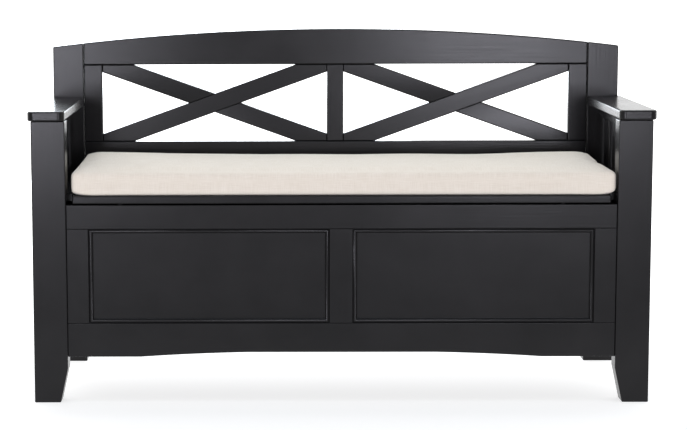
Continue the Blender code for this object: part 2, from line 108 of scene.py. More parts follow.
@dataclass
class Outline:
    """Closed outline, counter-clockwise in its plane, with its outward normals.

    Every point also knows the polygon's corner that its arc rounds off, that corner's
    mitre m = (n0 + n1)/(1 + n0.n1), and its radius, negative at an inner corner.
    """

    points: Array
    normals: Array
    corners: Array
    mitres: Array
    radii: Array

    @classmethod
    def rounded(cls, corners: Array, radius: float | Array, steps: int = 4) -> "Outline":
        """Round the corners of a polygon.

        The arc at a corner turns from the normal n0 of the edge before it to the
        normal n1 of the edge after it, about the point P - d0*t - n0*r*s, where d0
        is the edge's direction, s the sign of the turn and t = r*tan(turn/2).

        Args:
            corners: (M, 2) corners in counter-clockwise order.
            radius: One radius, or one for each corner.
            steps: Number of chords in each arc.

        Returns:
            The outline with (M*(steps+1), 2) points, less those that coincide.
        """
        corners = np.asarray(corners, float)
        before = corners - np.roll(corners, 1, axis=0)
        before /= np.linalg.norm(before, axis=1, keepdims=True)
        after = np.roll(before, -1, axis=0)
        cross = before[:, 0] * after[:, 1] - before[:, 1] * after[:, 0]
        turn = np.arctan2(cross, (before * after).sum(axis=1))
        sign = np.where(turn >= 0, 1.0, -1.0)
        radius = np.broadcast_to(np.asarray(radius, float), turn.shape)
        outward = np.stack([before[:, 1], -before[:, 0]], axis=1)
        reach = radius * np.tan(np.abs(turn) / 2)
        centre = corners - before * reach[:, None] - outward * (radius * sign)[:, None]
        start = np.arctan2(outward[:, 1], outward[:, 0])
        angle = start[:, None] + turn[:, None] * np.linspace(0, 1, steps + 1)
        normals = np.stack([np.cos(angle), np.sin(angle)], axis=-1)
        points = centre[:, None] + normals * (radius * sign)[:, None, None]
        after_out = np.roll(outward, -1, axis=0)
        mitre = (outward + after_out) / (1 + (outward * after_out).sum(axis=1, keepdims=True))
        points, normals = points.reshape(-1, 2), normals.reshape(-1, 2)
        apart = np.linalg.norm(points - np.roll(points, 1, axis=0), axis=1) > SAME_POINT
        corner, mitre, signed = (np.repeat(each, steps + 1, axis=0)
                                 for each in (corners, mitre, radius * sign))
        return cls(points[apart], normals[apart], corner[apart], mitre[apart], signed[apart])

    @classmethod
    def rectangle(cls, low: Array, high: Array, radius: float, steps: int = 4) -> "Outline":
        """Rectangle between two corners, with rounded corners."""
        return cls.rounded(box_corners(low, high), radius, steps)

    def inset(self, depths: Array) -> Array:
        """The outline moved in, once for each depth d.

        The radius at an outer corner P shrinks with the depth to q = max(r - d, r/4),
        and a point there is P - (d + q)*m + q*n.  At an inner corner it moves by -d*n.

        Args:
            depths: (D,) depths.

        Returns:
            (D, N, 2) points.
        """
        depth = np.asarray(depths, float)[:, None, None]
        left = np.maximum(self.radii[None, :, None] - depth, self.radii[None, :, None] / 4)
        outer = self.corners - (depth + left) * self.mitres + left * self.normals
        return np.where(self.radii[None, :, None] > 0, outer, self.points - depth * self.normals)


@dataclass
class Shape:
    """Vertices, faces and vertex normals of a closed surface."""

    points: Array
    faces: list
    normals: Array | None = None

    def joined(self, other: "Shape") -> "Shape":
        """Both surfaces as one list of vertices and faces.

        Args:
            other: The surface to add.

        Returns:
            The joined surface, with normals only where both have them.
        """
        count = len(self.points)
        faces = self.faces + [tuple(i + count for i in face) for face in other.faces]
        normals = None
        if self.normals is not None and other.normals is not None:
            normals = np.concatenate([self.normals, other.normals])
        return Shape(np.concatenate([self.points, other.points]), faces, normals)


def ring_faces(rings: int, count: int, flipped: bool = False, closed: bool = False) -> list:
    """Quads between rings of points, each ring closed on itself.

    Args:
        rings: Number of rings.
        count: Points in each ring.
        flipped: Turns every face round.
        closed: Joins the last ring to the first.

    Returns:
        A list of index tuples.
    """
    grid = np.arange(rings * count).reshape(rings, count)
    beside = np.roll(grid, -1, axis=1)
    above, above_beside = np.roll(grid, -1, axis=0), np.roll(beside, -1, axis=0)
    quads = np.stack([grid, beside, above_beside, above], axis=-1)
    quads = quads if closed else quads[:-1]
    quads = quads.reshape(-1, 4)
    return [tuple(q) for q in (quads[:, ::-1] if flipped else quads).tolist()]


def capped_faces(rings: int, count: int, flipped: bool = False) -> list:
    """Quads between rings of points, closed by a flat face at each end.

    Args:
        rings: Number of rings.
        count: Points in each ring.
        flipped: Turns every face round.

    Returns:
        A list of index tuples.
    """
    first, last = tuple(range(count)), tuple(range(count * (rings - 1), count * rings))
    ends = [first, last[::-1]] if flipped else [first[::-1], last]
    return ring_faces(rings, count, flipped) + ends


def eased_solid(outline: Outline, low: float, high: float, ease: float, plane: Plane,
                steps: int = 3) -> Shape:
    """Extrude an outline and round both ends over.

    With phi from -90 to 90 degrees, a ring is the outline inset by
    ease*(1-cos(phi)), at height low + ease*(1+sin(phi)) below the middle and
    high - ease*(1-sin(phi)) above it.  Its normal is cos(phi)*n + sin(phi)*w.

    Args:
        outline: Outline in the plane's u and v.
        low: Lowest w.
        high: Highest w.
        ease: Radius of the rounding.
        plane: Plane of the outline.
        steps: Chords in each rounding.

    Returns:
        The closed solid with exact normals.
    """
    quarter = np.linspace(-math.pi / 2, 0, steps + 1)
    phi = np.concatenate([quarter, -quarter[::-1]])
    height = np.where(np.arange(len(phi)) <= steps, low + ease * (1 + np.sin(phi)),
                      high - ease * (1 - np.sin(phi)))
    flat = outline.inset(ease * (1 - np.cos(phi)))
    column = flat[..., :1].shape
    local = np.concatenate([flat, np.broadcast_to(height[:, None, None], column)], axis=-1)
    tilt = np.broadcast_to(np.sin(phi)[:, None, None], column)
    normals = np.concatenate([outline.normals[None] * np.cos(phi)[:, None, None], tilt], axis=-1)
    faces = capped_faces(len(phi), len(outline.points), np.linalg.det(plane.axes) < 0)
    return Shape(local.reshape(-1, 3) @ plane.axes, faces, normals.reshape(-1, 3) @ plane.axes)


def turned_solid(radii: Array, heights: Array, centre: Array, axis: Array, sides: int = 32) -> Shape:
    """Turn a profile about an axis: point = centre + axis*h + r*(e1*cos(a) + e2*sin(a)).

    Args:
        radii: Radius at each station.
        heights: Place of each station along the axis, rising.
        centre: Origin of the profile.
        axis: Unit direction.
        sides: Points round the axis.

    Returns:
        The solid, closed by flat ends.
    """
    axis = np.asarray(axis, float)
    helper = np.array([0.0, 1.0, 0.0]) if abs(axis[0]) > 0.5 else np.array([1.0, 0.0, 0.0])
    e1 = np.cross(axis, helper)
    e1 /= np.linalg.norm(e1)
    e2 = np.cross(axis, e1)
    angle = np.linspace(0, 2 * math.pi, sides, endpoint=False)
    circle = np.outer(np.cos(angle), e1) + np.outer(np.sin(angle), e2)
    rings = np.asarray(radii, float)[:, None, None] * circle[None]
    rings = rings + np.asarray(heights, float)[:, None, None] * axis + np.asarray(centre, float)
    return Shape(rings.reshape(-1, 3), capped_faces(len(radii), sides))


# ---------------------------------------------------------------- materials
class Recipe:
    """Short hand for laying out a Principled material's nodes."""

    def __init__(self, name: str) -> None:
        """Start a material with its Principled shader.

        Args:
            name: The material's name.
        """
        self.material = bpy.data.materials.new(name)
        self.material.use_nodes = True
        self.tree = self.material.node_tree
        self.shader = self.tree.nodes["Principled BSDF"]

    def plug(self, socket: bpy.types.NodeSocket, value: object) -> None:
        """Link a socket, or give it a value.

        Args:
            socket: The input.
            value: Another node's output, or a value.
        """
        if isinstance(value, bpy.types.NodeSocket):
            self.tree.links.new(value, socket)
        else:
            socket.default_value = value

    def node(self, kind: str, **settings: object) -> bpy.types.Node:
        """Add a node. A setting that is a socket is linked, another is a property or a value.

        Args:
            kind: The node's type, without its ShaderNode prefix.
            **settings: Input sockets by name, with underscores for spaces, or properties.

        Returns:
            The new node.
        """
        made = self.tree.nodes.new("ShaderNode" + kind)
        for key, value in settings.items():
            socket = made.inputs.get(key.replace("_", " "))
            if socket is None:
                setattr(made, key, value)
            else:
                self.plug(socket, value)
        return made

    def calc(self, operation: str, *values: object) -> bpy.types.NodeSocket:
        """Result of a Math node.

        Args:
            operation: The node's operation.
            *values: Outputs or numbers for its inputs, in their order.

        Returns:
            The node's output.
        """
        made = self.node("Math", operation=operation)
        for socket, value in zip(made.inputs, values):
            self.plug(socket, value)
        return made.outputs[0]

    def set(self, **values: object) -> None:
        """Set or link the shader's own sockets."""
        for key, value in values.items():
            self.plug(self.shader.inputs[key.replace("_", " ")], value)

    def spread(self, fac: bpy.types.NodeSocket, low: float, high: float) -> bpy.types.NodeSocket:
        """Map a 0 to 1 value to a range."""
        ranged = self.node("MapRange", Value=fac, To_Min=low, To_Max=high)
        return ranged.outputs["Result"]

    def blend(self, one: bpy.types.NodeSocket, other: bpy.types.NodeSocket) -> bpy.types.NodeSocket:
        """Half of one value and half of another."""
        return self.node("Mix", Factor=0.5, A=one, B=other).outputs["Result"]

    def tint(self, fac: bpy.types.NodeSocket, low: tuple, high: tuple) -> bpy.types.NodeSocket:
        """Blend two colours by a 0 to 1 value.

        Args:
            fac: The value.
            low: Colour up to the first stop.
            high: Colour from the second stop.

        Returns:
            The blended colour.
        """
        ramp = self.node("ValToRGB")
        self.plug(ramp.inputs["Fac"], fac)
        for stop, position, colour in zip(ramp.color_ramp.elements, TINT_STOPS, (low, high)):
            stop.position = position
            stop.color = (*colour, 1.0)
        return ramp.outputs["Color"]


@dataclass(frozen=True)
class PaintFinish:
    """Satin paint on wood: a sprayed skin over grain that shows faintly through."""

    name: str
    dark: tuple = (0.0066, 0.0063, 0.0068)
    light: tuple = (0.0096, 0.0091, 0.0097)
    roughness: tuple = (0.17, 0.29)
    gloss: float = 0.20
    grain_depth: float = 0.00010
    peel_depth: float = 0.00003

    def material(self) -> bpy.types.Material:
        """Build the paint. Grain lines follow each board through its grain attribute.

        Returns:
            The material.
        """
        recipe = Recipe(self.name)
        along = recipe.node("Attribute", attribute_name="grain")
        stretch = recipe.node("Mapping", Vector=along.outputs["Vector"], Scale=(6.0, 260.0, 260.0))
        grain = recipe.node("TexNoise", Vector=stretch.outputs["Vector"], Scale=1.0, Detail=3.0,
                            Roughness=0.6)
        place = recipe.node("TexCoord").outputs["Object"]
        peel = recipe.node("TexNoise", Vector=place, Scale=700.0, Detail=2.0, Roughness=0.5)
        cloud = recipe.node("TexNoise", Vector=along.outputs["Vector"], Scale=9.0, Detail=4.0,
                            Roughness=0.55)
        fine = recipe.node("Bump", Height=grain.outputs["Fac"], Strength=1.0,
                           Distance=self.grain_depth)
        skin = recipe.node("Bump", Height=peel.outputs["Fac"], Strength=1.0,
                           Distance=self.peel_depth, Normal=fine.outputs["Normal"])
        recipe.set(Base_Color=recipe.tint(cloud.outputs["Fac"], self.dark, self.light),
                   Roughness=recipe.spread(recipe.blend(grain.outputs["Fac"], cloud.outputs["Fac"]),
                                           *self.roughness),
                   Normal=skin.outputs["Normal"], Specular_IOR_Level=self.gloss)
        return recipe.material


@dataclass(frozen=True)
class CottonFinish:
    """Plain woven cotton: warp and weft threads with slubs, read from the weave UV map."""

    name: str = "woven_cotton"
    dark: tuple = (0.66, 0.59, 0.50)
    light: tuple = (0.78, 0.72, 0.64)
    pitch: float = 0.0011
    crossing_lift: float = 0.5
    thread_height: float = 0.00018
    slub_scale: tuple = (35.0, 700.0)
    slub_share: float = 0.42
    blotch_share: float = 0.15

    def thread(self, recipe: Recipe, across: bpy.types.NodeSocket,
               along: bpy.types.NodeSocket) -> bpy.types.NodeSocket:
        """Height of one set of threads: |s| + lift*s*sin(pi*along/pitch), s = sin(pi*across/pitch).

        Args:
            recipe: The material.
            across: Place across the threads, in metres.
            along: Place along them.

        Returns:
            The height, about 0 to 1.
        """
        wave = recipe.calc("SINE", recipe.calc("MULTIPLY", across, math.pi / self.pitch))
        over = recipe.calc("SINE", recipe.calc("MULTIPLY", along, math.pi / self.pitch))
        crossing = recipe.calc("MULTIPLY", wave, over)
        return recipe.calc("MULTIPLY_ADD", crossing, self.crossing_lift, recipe.calc("ABSOLUTE", wave))

    def slubs(self, recipe: Recipe, weave: bpy.types.NodeSocket, scale: tuple) -> bpy.types.NodeSocket:
        """Noise stretched along one set of threads, for their uneven thickness.

        Args:
            recipe: The material.
            weave: The weave's coordinates.
            scale: Noise scale along each of them.

        Returns:
            The noise, 0 to 1.
        """
        drawn = recipe.node("Mapping", Vector=weave, Scale=scale)
        noise = recipe.node("TexNoise", Vector=drawn.outputs["Vector"], Scale=1.0, Detail=2.0)
        return noise.outputs["Fac"]

    def material(self) -> bpy.types.Material:
        """Build the cotton. Its colour follows the slubs and a wider blotching.

        Returns:
            The material.
        """
        recipe = Recipe(self.name)
        weave = recipe.node("UVMap", uv_map="weave").outputs["UV"]
        parts = recipe.node("SeparateXYZ", Vector=weave)
        warp = self.thread(recipe, parts.outputs["X"], parts.outputs["Y"])
        weft = self.thread(recipe, parts.outputs["Y"], parts.outputs["X"])
        cloth = recipe.calc("MAXIMUM", warp, weft)
        coarse, fine = self.slub_scale
        slub = recipe.calc("ADD", self.slubs(recipe, weave, (coarse, fine, 1.0)),
                           self.slubs(recipe, weave, (fine, coarse, 1.0)))
        blotch = recipe.node("TexNoise", Vector=weave, Scale=28.0, Detail=3.0)
        shade = recipe.calc("MULTIPLY", blotch.outputs["Fac"], self.blotch_share)
        mixed = recipe.calc("MULTIPLY_ADD", slub, self.slub_share, shade)
        threads = recipe.node("Bump", Height=cloth, Strength=0.8, Distance=self.thread_height)
        uneven = recipe.node("Bump", Height=slub, Strength=0.6, Distance=self.thread_height * 2,
                             Normal=threads.outputs["Normal"])
        recipe.set(Base_Color=recipe.tint(mixed, self.dark, self.light), Roughness=0.92,
                   Sheen_Weight=0.25, Sheen_Roughness=0.45, Specular_IOR_Level=0.15,
                   Normal=uneven.outputs["Normal"])
        return recipe.material


@dataclass(frozen=True)
class MetalFinish:
    """Plated steel with a fine drawn texture along X."""

    name: str = "plated_steel"
    dark: tuple = (0.42, 0.41, 0.39)
    light: tuple = (0.62, 0.61, 0.58)

    def material(self) -> bpy.types.Material:
        """Build the steel.

        Returns:
            The material.
        """
        recipe = Recipe(self.name)
        place = recipe.node("TexCoord").outputs["Object"]
        drawn = recipe.node("Mapping", Vector=place, Scale=(60.0, 2500.0, 2500.0))
        lines = recipe.node("TexNoise", Vector=drawn.outputs["Vector"], Scale=1.0, Detail=2.0)
        bump = recipe.node("Bump", Height=lines.outputs["Fac"], Strength=0.5, Distance=0.00004)
        recipe.set(Base_Color=recipe.tint(lines.outputs["Fac"], self.dark, self.light), Metallic=1.0,
                   Roughness=recipe.spread(lines.outputs["Fac"], 0.25, 0.42),
                   Normal=bump.outputs["Normal"])
        return recipe.material


@dataclass(frozen=True)
class RubberFinish:
    """Matt moulded rubber with a pebbled skin."""

    name: str = "moulded_rubber"
    dark: tuple = (0.006, 0.006, 0.006)
    light: tuple = (0.012, 0.012, 0.012)

    def material(self) -> bpy.types.Material:
        """Build the rubber.

        Returns:
            The material.
        """
        recipe = Recipe(self.name)
        place = recipe.node("TexCoord").outputs["Object"]
        skin = recipe.node("TexNoise", Vector=place, Scale=1500.0, Detail=2.0)
        bump = recipe.node("Bump", Height=skin.outputs["Fac"], Strength=0.6, Distance=0.00005)
        recipe.set(Base_Color=recipe.tint(skin.outputs["Fac"], self.dark, self.light),
                   Roughness=0.75, Specular_IOR_Level=0.15, Normal=bump.outputs["Normal"])
        return recipe.material


@dataclass
class Finishes:
    """The bench's materials, made once."""

    paint: bpy.types.Material = field(default_factory=lambda: PaintFinish("satin_black_paint").material())
    panel: bpy.types.Material = field(default_factory=lambda: PaintFinish(
        "satin_black_panel_paint", roughness=(0.18, 0.30), grain_depth=0.00004).material())
    cotton: bpy.types.Material = field(default_factory=lambda: CottonFinish().material())
    steel: bpy.types.Material = field(default_factory=lambda: MetalFinish().material())
    rubber: bpy.types.Material = field(default_factory=lambda: RubberFinish().material())


# ---------------------------------------------------------------- pieces
def node_box(node: str) -> tuple[Array, Array]:
    """Lowest and highest corners of a CAD node, as arrays."""
    low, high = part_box(node)
    return np.array(low), np.array(high)


def body_of(node: str) -> str:
    """Name of the CAD body that a node rides on."""
    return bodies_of(frame["nodes"][node])[0]


def slot_of(node: str) -> str:
    """The record's material slot of a CAD node."""
    rows = {row["node"]: row["material_slot"] for row in frame["record"]["subparts"]}
    return rows[node]


def add_object(name: str, data: bpy.types.ID) -> bpy.types.Object:
    """Put a mesh, a light or a camera into the scene.

    Args:
        name: The object's name.
        data: What it shows.

    Returns:
        The new object.
    """
    made = bpy.data.objects.new(name, data)
    bpy.context.scene.collection.objects.link(made)
    return made


def new_piece(name: str, shape: Shape, material: bpy.types.Material) -> bpy.types.Object:
    """Put a shape into a mesh object with smooth faces and, where given, its own normals.

    Args:
        name: Name of the object and its mesh.
        shape: The surface.
        material: Its material.

    Returns:
        The new piece.
    """
    mesh = bpy.data.meshes.new(name)
    mesh.from_pydata(shape.points.tolist(), [], shape.faces)
    mesh.materials.append(material)
    mesh.validate()
    mesh.shade_smooth()
    if shape.normals is not None:
        mesh.normals_split_custom_set_from_vertices(shape.normals.tolist())
    return add_object(name, mesh)


def settle(piece: bpy.types.Object, body: str, slot: str, *nodes: str) -> bpy.types.Object:
    """Ride a piece on its body and let it stand for CAD nodes.

    Args:
        piece: The piece.
        body: Its CAD body.
        slot: The record's material slot; not used.
        *nodes: CAD nodes that it replaces.

    Returns:
        The same piece.
    """
    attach(piece, body)
    if nodes:
        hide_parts(*nodes)
    LOG.info("%s: %d faces on %s", piece.name, len(piece.data.polygons), body)
    return piece


def add_grain(piece: bpy.types.Object, along: Array, seed: int) -> None:
    """Store each vertex's place along and across the board's grain as the attribute grain.

    The three coordinates are p.g, p.a and p.b, with g the grain's direction and a, b
    two directions square to it, each shifted by an amount of the board's own.

    Args:
        piece: The board.
        along: Direction of the grain.
        seed: Seed of the shift, so that no two boards match.
    """
    g = np.asarray(along, float) / np.linalg.norm(along)
    helper = np.array([0.0, 1.0, 0.0]) if abs(g[1]) < 0.9 else np.array([1.0, 0.0, 0.0])
    a = np.cross(g, helper)
    a /= np.linalg.norm(a)
    basis = np.stack([g, a, np.cross(g, a)])
    points = np.empty(len(piece.data.vertices) * 3, np.float32)
    piece.data.vertices.foreach_get("co", points)
    shift = np.random.default_rng(seed).uniform(-5, 5, 3)
    values = points.reshape(-1, 3) @ basis.T + shift
    layer = piece.data.attributes.new("grain", "FLOAT_VECTOR", "POINT")
    layer.data.foreach_set("vector", values.astype(np.float32).ravel())


class Joinery:
    """Makes eased boards in place of CAD nodes."""

    def __init__(self, finishes: Finishes) -> None:
        """Keep the finishes and count the boards, for their grain."""
        self.finishes = finishes
        self.count = 0

    def finish_for(self, node: str) -> bpy.types.Material:
        """Sheet panels and solid boards have paints of their own."""
        return self.finishes.panel if slot_of(node) == "black_panel_paint" else self.finishes.paint

    def place(self, node: str, shape: Shape, along: Array) -> bpy.types.Object:
        """Add a shaped board that stands for a node.

        Args:
            node: The CAD node.
            shape: The board's surface.
            along: Direction of its grain.

        Returns:
            The new piece.
        """
        self.count += 1
        piece = new_piece(f"{node}_board", shape, self.finish_for(node))
        add_grain(piece, along, self.count)
        return settle(piece, body_of(node), slot_of(node), node)

    def plank(self, node: str, ease: float = 0.0015, corner: float = 0.0016,
              fill: float = 0.0) -> bpy.types.Object:
        """Straight board in a node's box, its outline across its thinnest direction.

        Args:
            node: The CAD node.
            ease: Rounding of its edges.
            corner: Radius of its outline's corners.
            fill: How far its outline reaches into the glued joints round it.

        Returns:
            The new piece.
        """
        low, high = node_box(node)
        size = high - low
        plane = (Plane.SIDE, Plane.FRONT, Plane.TOP)[int(np.argmin(size))]
        lo, hi = plane.axes @ low, plane.axes @ high
        lo, hi = np.minimum(lo, hi), np.maximum(lo, hi)
        outline = Outline.rectangle(lo[:2] - fill, hi[:2] + fill, corner)
        along = np.eye(3)[int(np.argmax(size))]
        return self.place(node, eased_solid(outline, lo[2], hi[2], ease, plane), along)

    def panelled(self, node: str, corners: Array, plane: Plane, ease: float,
                 radius: float | Array, along: Array, steps: int = 4) -> bpy.types.Object:
        """Board of any outline, as thick as its node.

        Args:
            node: The CAD node.
            corners: (M, 2) corners in the plane's u and v, counter-clockwise.
            plane: Plane of the outline.
            ease: Rounding of its edges.
            radius: Radius of its corners, or one for each.
            along: Direction of the grain.
            steps: Chords in each corner.

        Returns:
            The new piece.
        """
        low, high = node_box(node)
        span = sorted((plane.axes[2] @ low, plane.axes[2] @ high))
        outline = Outline.rounded(corners, radius, steps)
        return self.place(node, eased_solid(outline, span[0], span[1], ease, plane), along)


def counter_clockwise(corners: Array) -> Array:
    """The corners in counter-clockwise order, by the sign of the polygon's area.

    Args:
        corners: (M, 2) corners in either order.

    Returns:
        The corners, reversed where the area is negative.
    """
    u, v = corners[:, 0], corners[:, 1]
    area = (u * np.roll(v, -1) - v * np.roll(u, -1)).sum()
    return corners if area > 0 else corners[::-1]


@dataclass
class LegsAndArms:
    """Front legs, rear posts and arms."""

    joinery: Joinery
    taper_top: float = 0.0709
    foot_inset: float = 0.0154
    arch_radius: float = 5.15
    crown: float = 0.7495
    ease: float = 0.0022
    nose_radius: float = 0.014
    arm_ease: float = 0.0035
    corner_share: float = 1.1

    def arch(self, x: Array) -> Array:
        """Height of the arched back: z = crown - R + sqrt(R*R - x*x)."""
        return self.crown - self.arch_radius + np.sqrt(self.arch_radius ** 2 - x ** 2)

    def upright(self, node: str, corners: Array, side: float) -> None:
        """Board along Z, its right-hand outline mirrored where it stands on the left.

        Args:
            node: The CAD node.
            corners: Outline on the right-hand side.
            side: 1 on the right, -1 on the left.
        """
        corners = counter_clockwise(corners * (side, 1.0))
        radius = self.ease * self.corner_share
        self.joinery.panelled(node, corners, Plane.FRONT, self.ease, radius, (0, 0, 1))

    def leg(self, name: str, side: float) -> None:
        """Front leg with a foot tapered on its inner face.

        Args:
            name: Left or right.
            side: 1 on the right, -1 on the left.
        """
        node = f"front_leg_{name}"
        low, high = node_box(node)
        inner, outer = sorted((abs(low[0]), abs(high[0])))
        corners = np.array([(inner, high[2]), (outer, high[2]), (outer, 0.0),
                            (inner + self.foot_inset, 0.0), (inner, self.taper_top)])
        self.upright(node, corners, side)

    def post(self, name: str, side: float) -> None:
        """Rear post, cut to the arch at its top.

        Args:
            name: Left or right.
            side: 1 on the right, -1 on the left.
        """
        node = f"rear_post_{name}"
        low, high = node_box(node)
        inner, outer = sorted((abs(low[0]), abs(high[0])))
        x = np.linspace(inner, outer, 5)
        top = np.stack([x, self.arch(x)], axis=1)
        self.upright(node, np.concatenate([top, [(outer, 0.0), (inner, 0.0)]]), side)

    def arm(self, name: str) -> None:
        """Arm board with rounded front corners.

        Args:
            name: Left or right.
        """
        node = f"arm_{name}"
        low, high = node_box(node)
        rear = self.arm_ease * self.corner_share
        radius = np.array([self.nose_radius, self.nose_radius, rear, rear])
        self.joinery.panelled(node, box_corners(low, high), Plane.TOP, self.arm_ease, radius, (0, 1, 0),
                              steps=8)

    def build(self) -> None:
        """Make both sides."""
        for name, side in SIDES.items():
            self.leg(name, side)
            self.post(name, side)
            self.arm(name)


@dataclass
class SideFrames:
    """Rails, slats and panels between each front leg and its post."""

    joinery: Joinery
    slats: int = 3
    slat_ease: float = 0.0038
    slat_corner: float = 0.0005

    def build(self) -> None:
        """Make both sides."""
        for name in SIDES:
            for rail in ("side_top_rail", "side_seat_rail", "side_bottom_rail"):
                self.joinery.plank(f"{rail}_{name}")
            for index in range(1, self.slats + 1):
                self.joinery.plank(f"side_slat_{name}_{index}", self.slat_ease, self.slat_corner)
            self.joinery.plank(f"side_panel_{name}", ease=0.0008, corner=0.001)


@dataclass
class FrontFrame:
    """Rails, stiles, mullion, panels and bead mouldings of the box's front."""

    joinery: Joinery
    valance_half: float = 0.410
    valance_rise: float = 0.0111
    valance_power: float = 2.5
    ease: float = 0.0011
    corner: float = 0.0004
    bead_width: float = 0.0092
    quirk: float = 0.0016
    quirk_share: float = 0.6
    bead_rise: float = 0.9
    bead_sunk: float = 0.0004
    frame_edge: float = 0.0028
    quirk_floor: float = 0.0034
    panel_edge: float = 0.0046

    def valance(self) -> None:
        """Bottom rail with its shallow arched underside: rise*(1 - |x/half|**power)."""
        node = "front_bottom_rail"
        low, high = node_box(node)
        x = np.linspace(-self.valance_half, self.valance_half, 61)
        z = low[2] + self.valance_rise * (1 - np.abs(x / self.valance_half) ** self.valance_power)
        under = np.stack([x, z], axis=1)
        ends = np.array([(high[0], low[2]), (high[0], high[2]), (low[0], high[2]), (low[0], low[2])])
        corners = counter_clockwise(np.concatenate([ends, under]))
        self.joinery.panelled(node, corners, Plane.FRONT, self.ease, self.corner, (1, 0, 0), 3)

    def bead(self, name: str) -> None:
        """Moulding round a panel: a half-round bead with a quirk beside it, mitred at the corners.

        The profile runs from the frame towards the panel.  Its bead is half an ellipse,
        (inset, depth) = (quirk + r - r*cos(t), sunk + rise*r*(1 - sin(t))), t from 0 to 180
        degrees, and every profile point draws a rectangle round the opening.

        Args:
            name: Left or right.
        """
        node = f"panel_bead_{name}"
        low, high = node_box(node)
        depth = high[1] - low[1]
        radius = (self.bead_width - 2 * self.quirk) / 2
        t = np.linspace(0, math.pi, 13)
        bead = np.stack([self.quirk + radius * (1 - np.cos(t)),
                         radius * self.bead_rise * (1 - np.sin(t)) + self.bead_sunk], axis=1)
        quirk = [(0.0, depth), (0.0, self.frame_edge), (self.quirk * self.quirk_share, self.quirk_floor)]
        panel = [(self.bead_width, self.panel_edge), (self.bead_width, depth)]
        profile = np.concatenate([quirk, bead, panel])
        middle = (low + high) / 2
        half = (high - low) / 2
        corner = SQUARE[None] * (half[[0, 2]] - profile[:, :1])[:, None] + middle[[0, 2]]
        points = np.stack([corner[..., 0], np.broadcast_to(low[1] + profile[:, 1:], corner.shape[:2]),
                           corner[..., 1]], axis=-1)
        shape = Shape(points.reshape(-1, 3), ring_faces(len(profile), 4, closed=True))
        piece = self.joinery.place(node, shape, (1, 0, 0))
        piece.data.set_sharp_from_angle(angle=SHARP_EDGE)

    def build(self) -> None:
        """Make the front."""
        self.joinery.plank("front_top_rail", self.ease, self.corner)
        self.valance()
        for node in ("front_stile_left", "front_stile_right", "front_mullion"):
            self.joinery.plank(node, self.ease, self.corner)
        for name in SIDES:
            self.joinery.plank(f"front_panel_{name}", ease=0.0006, corner=0.0008)
            self.bead(name)


@dataclass
class ArchedBack:
    """Arched top rail, lower rail, stiles and half-lapped cross braces."""

    joinery: Joinery
    legs: LegsAndArms
    ease: float = 0.0025
    corner: float = 0.0005
    brace_width: float = 0.0392
    brace_overshoot: float = 0.004
    lap_gap: float = 0.0002
    overcut: float = 0.01
    fill: float = 0.00013

    def top_rail(self) -> None:
        """Rail with a straight underside and an arched top."""
        node = "back_top_rail"
        low, high = node_box(node)
        low, high = low - self.fill, high + self.fill
        x = np.linspace(high[0], low[0], 81)
        top = np.stack([x, self.legs.arch(x)], axis=1)
        corners = np.concatenate([[(low[0], low[2]), (high[0], low[2])], top])
        self.joinery.panelled(node, corners, Plane.FRONT, self.ease, self.corner, (1, 0, 0), 3)

    def brace_corners(self, half: Array, rise: float) -> Array:
        """Six corners of a diagonal brace, which fills two corners of its opening.

        Its middle line passes an overshoot e above or below the opening's corner, at
        half height b + e.  With h half the brace's upright thickness, its edges meet
        the opening's sides h - e from the corner and its top (h + e)*a/(b + e) away.

        Args:
            half: Half sizes a and b of the opening.
            rise: 1 where the brace climbs to the right, -1 where it falls.

        Returns:
            The corners about the opening's middle.
        """
        a, b = half
        end = b + self.brace_overshoot
        upright = self.brace_width / 2 * math.hypot(a, end) / a
        u, v = (upright + self.brace_overshoot) * a / end, upright - self.brace_overshoot
        corners = np.array([(-a, -b), (-a + u, -b), (a, b - v), (a, b), (a - u, b), (-a, -b + v)])
        return counter_clockwise(corners * (1.0, rise))

    def lap_tool(self, half: Array, rise: float, centre: Array, span: tuple) -> Shape:
        """Block that cuts a brace's lap: the middle third of the brace that crosses it.

        Args:
            half: Half sizes of the opening.
            rise: 1 or -1, as the crossing brace climbs.
            centre: The opening's middle.
            span: Lowest and highest place of the block across the opening.

        Returns:
            The block.
        """
        end = half[1] + self.brace_overshoot
        length = math.hypot(half[0], end)
        unit = np.array([half[0], rise * end]) / length
        square = np.array([-unit[1], unit[0]])
        reach, width = length / 3, self.brace_width / 2 + self.lap_gap
        corners = SQUARE[:, :1] * reach * unit + SQUARE[:, 1:] * width * square + centre
        outline = Outline.rounded(corners, 0.0, 1)
        return eased_solid(outline, span[0], span[1], 0.0, Plane.FRONT, 1)

    def braces(self, name: str) -> None:
        """Two braces in one opening: the rising one is whole in front, the falling one behind.

        Args:
            name: Left or right.
        """
        for kind, rise in (("rising", 1.0), ("falling", -1.0)):
            node = f"brace_{kind}_{name}"
            low, high = node_box(node)
            half = (high - low)[[0, 2]] / 2 + self.fill
            centre = (high + low)[[0, 2]] / 2
            piece = self.joinery.panelled(node, self.brace_corners(half, rise) + centre, Plane.FRONT,
                                          self.ease, self.corner, (half[0], 0, rise * half[1]))
            middle = -(low[1] + high[1]) / 2
            rear = (-high[1] - self.overcut, middle)
            front = (middle - self.lap_gap, -low[1] + self.overcut)
            tool = new_piece("lap_tool", self.lap_tool(half, -rise, centre,
                                                      rear if kind == "rising" else front),
                             self.joinery.finishes.paint)
            cut_away(piece, tool)

    def build(self) -> None:
        """Make the back."""
        self.top_rail()
        for node in ("back_lower_rail", "back_stile_left", "back_stile_right", "back_centre_stile"):
            self.joinery.plank(node, self.ease, self.corner, self.fill)
        for name in SIDES:
            self.braces(name)


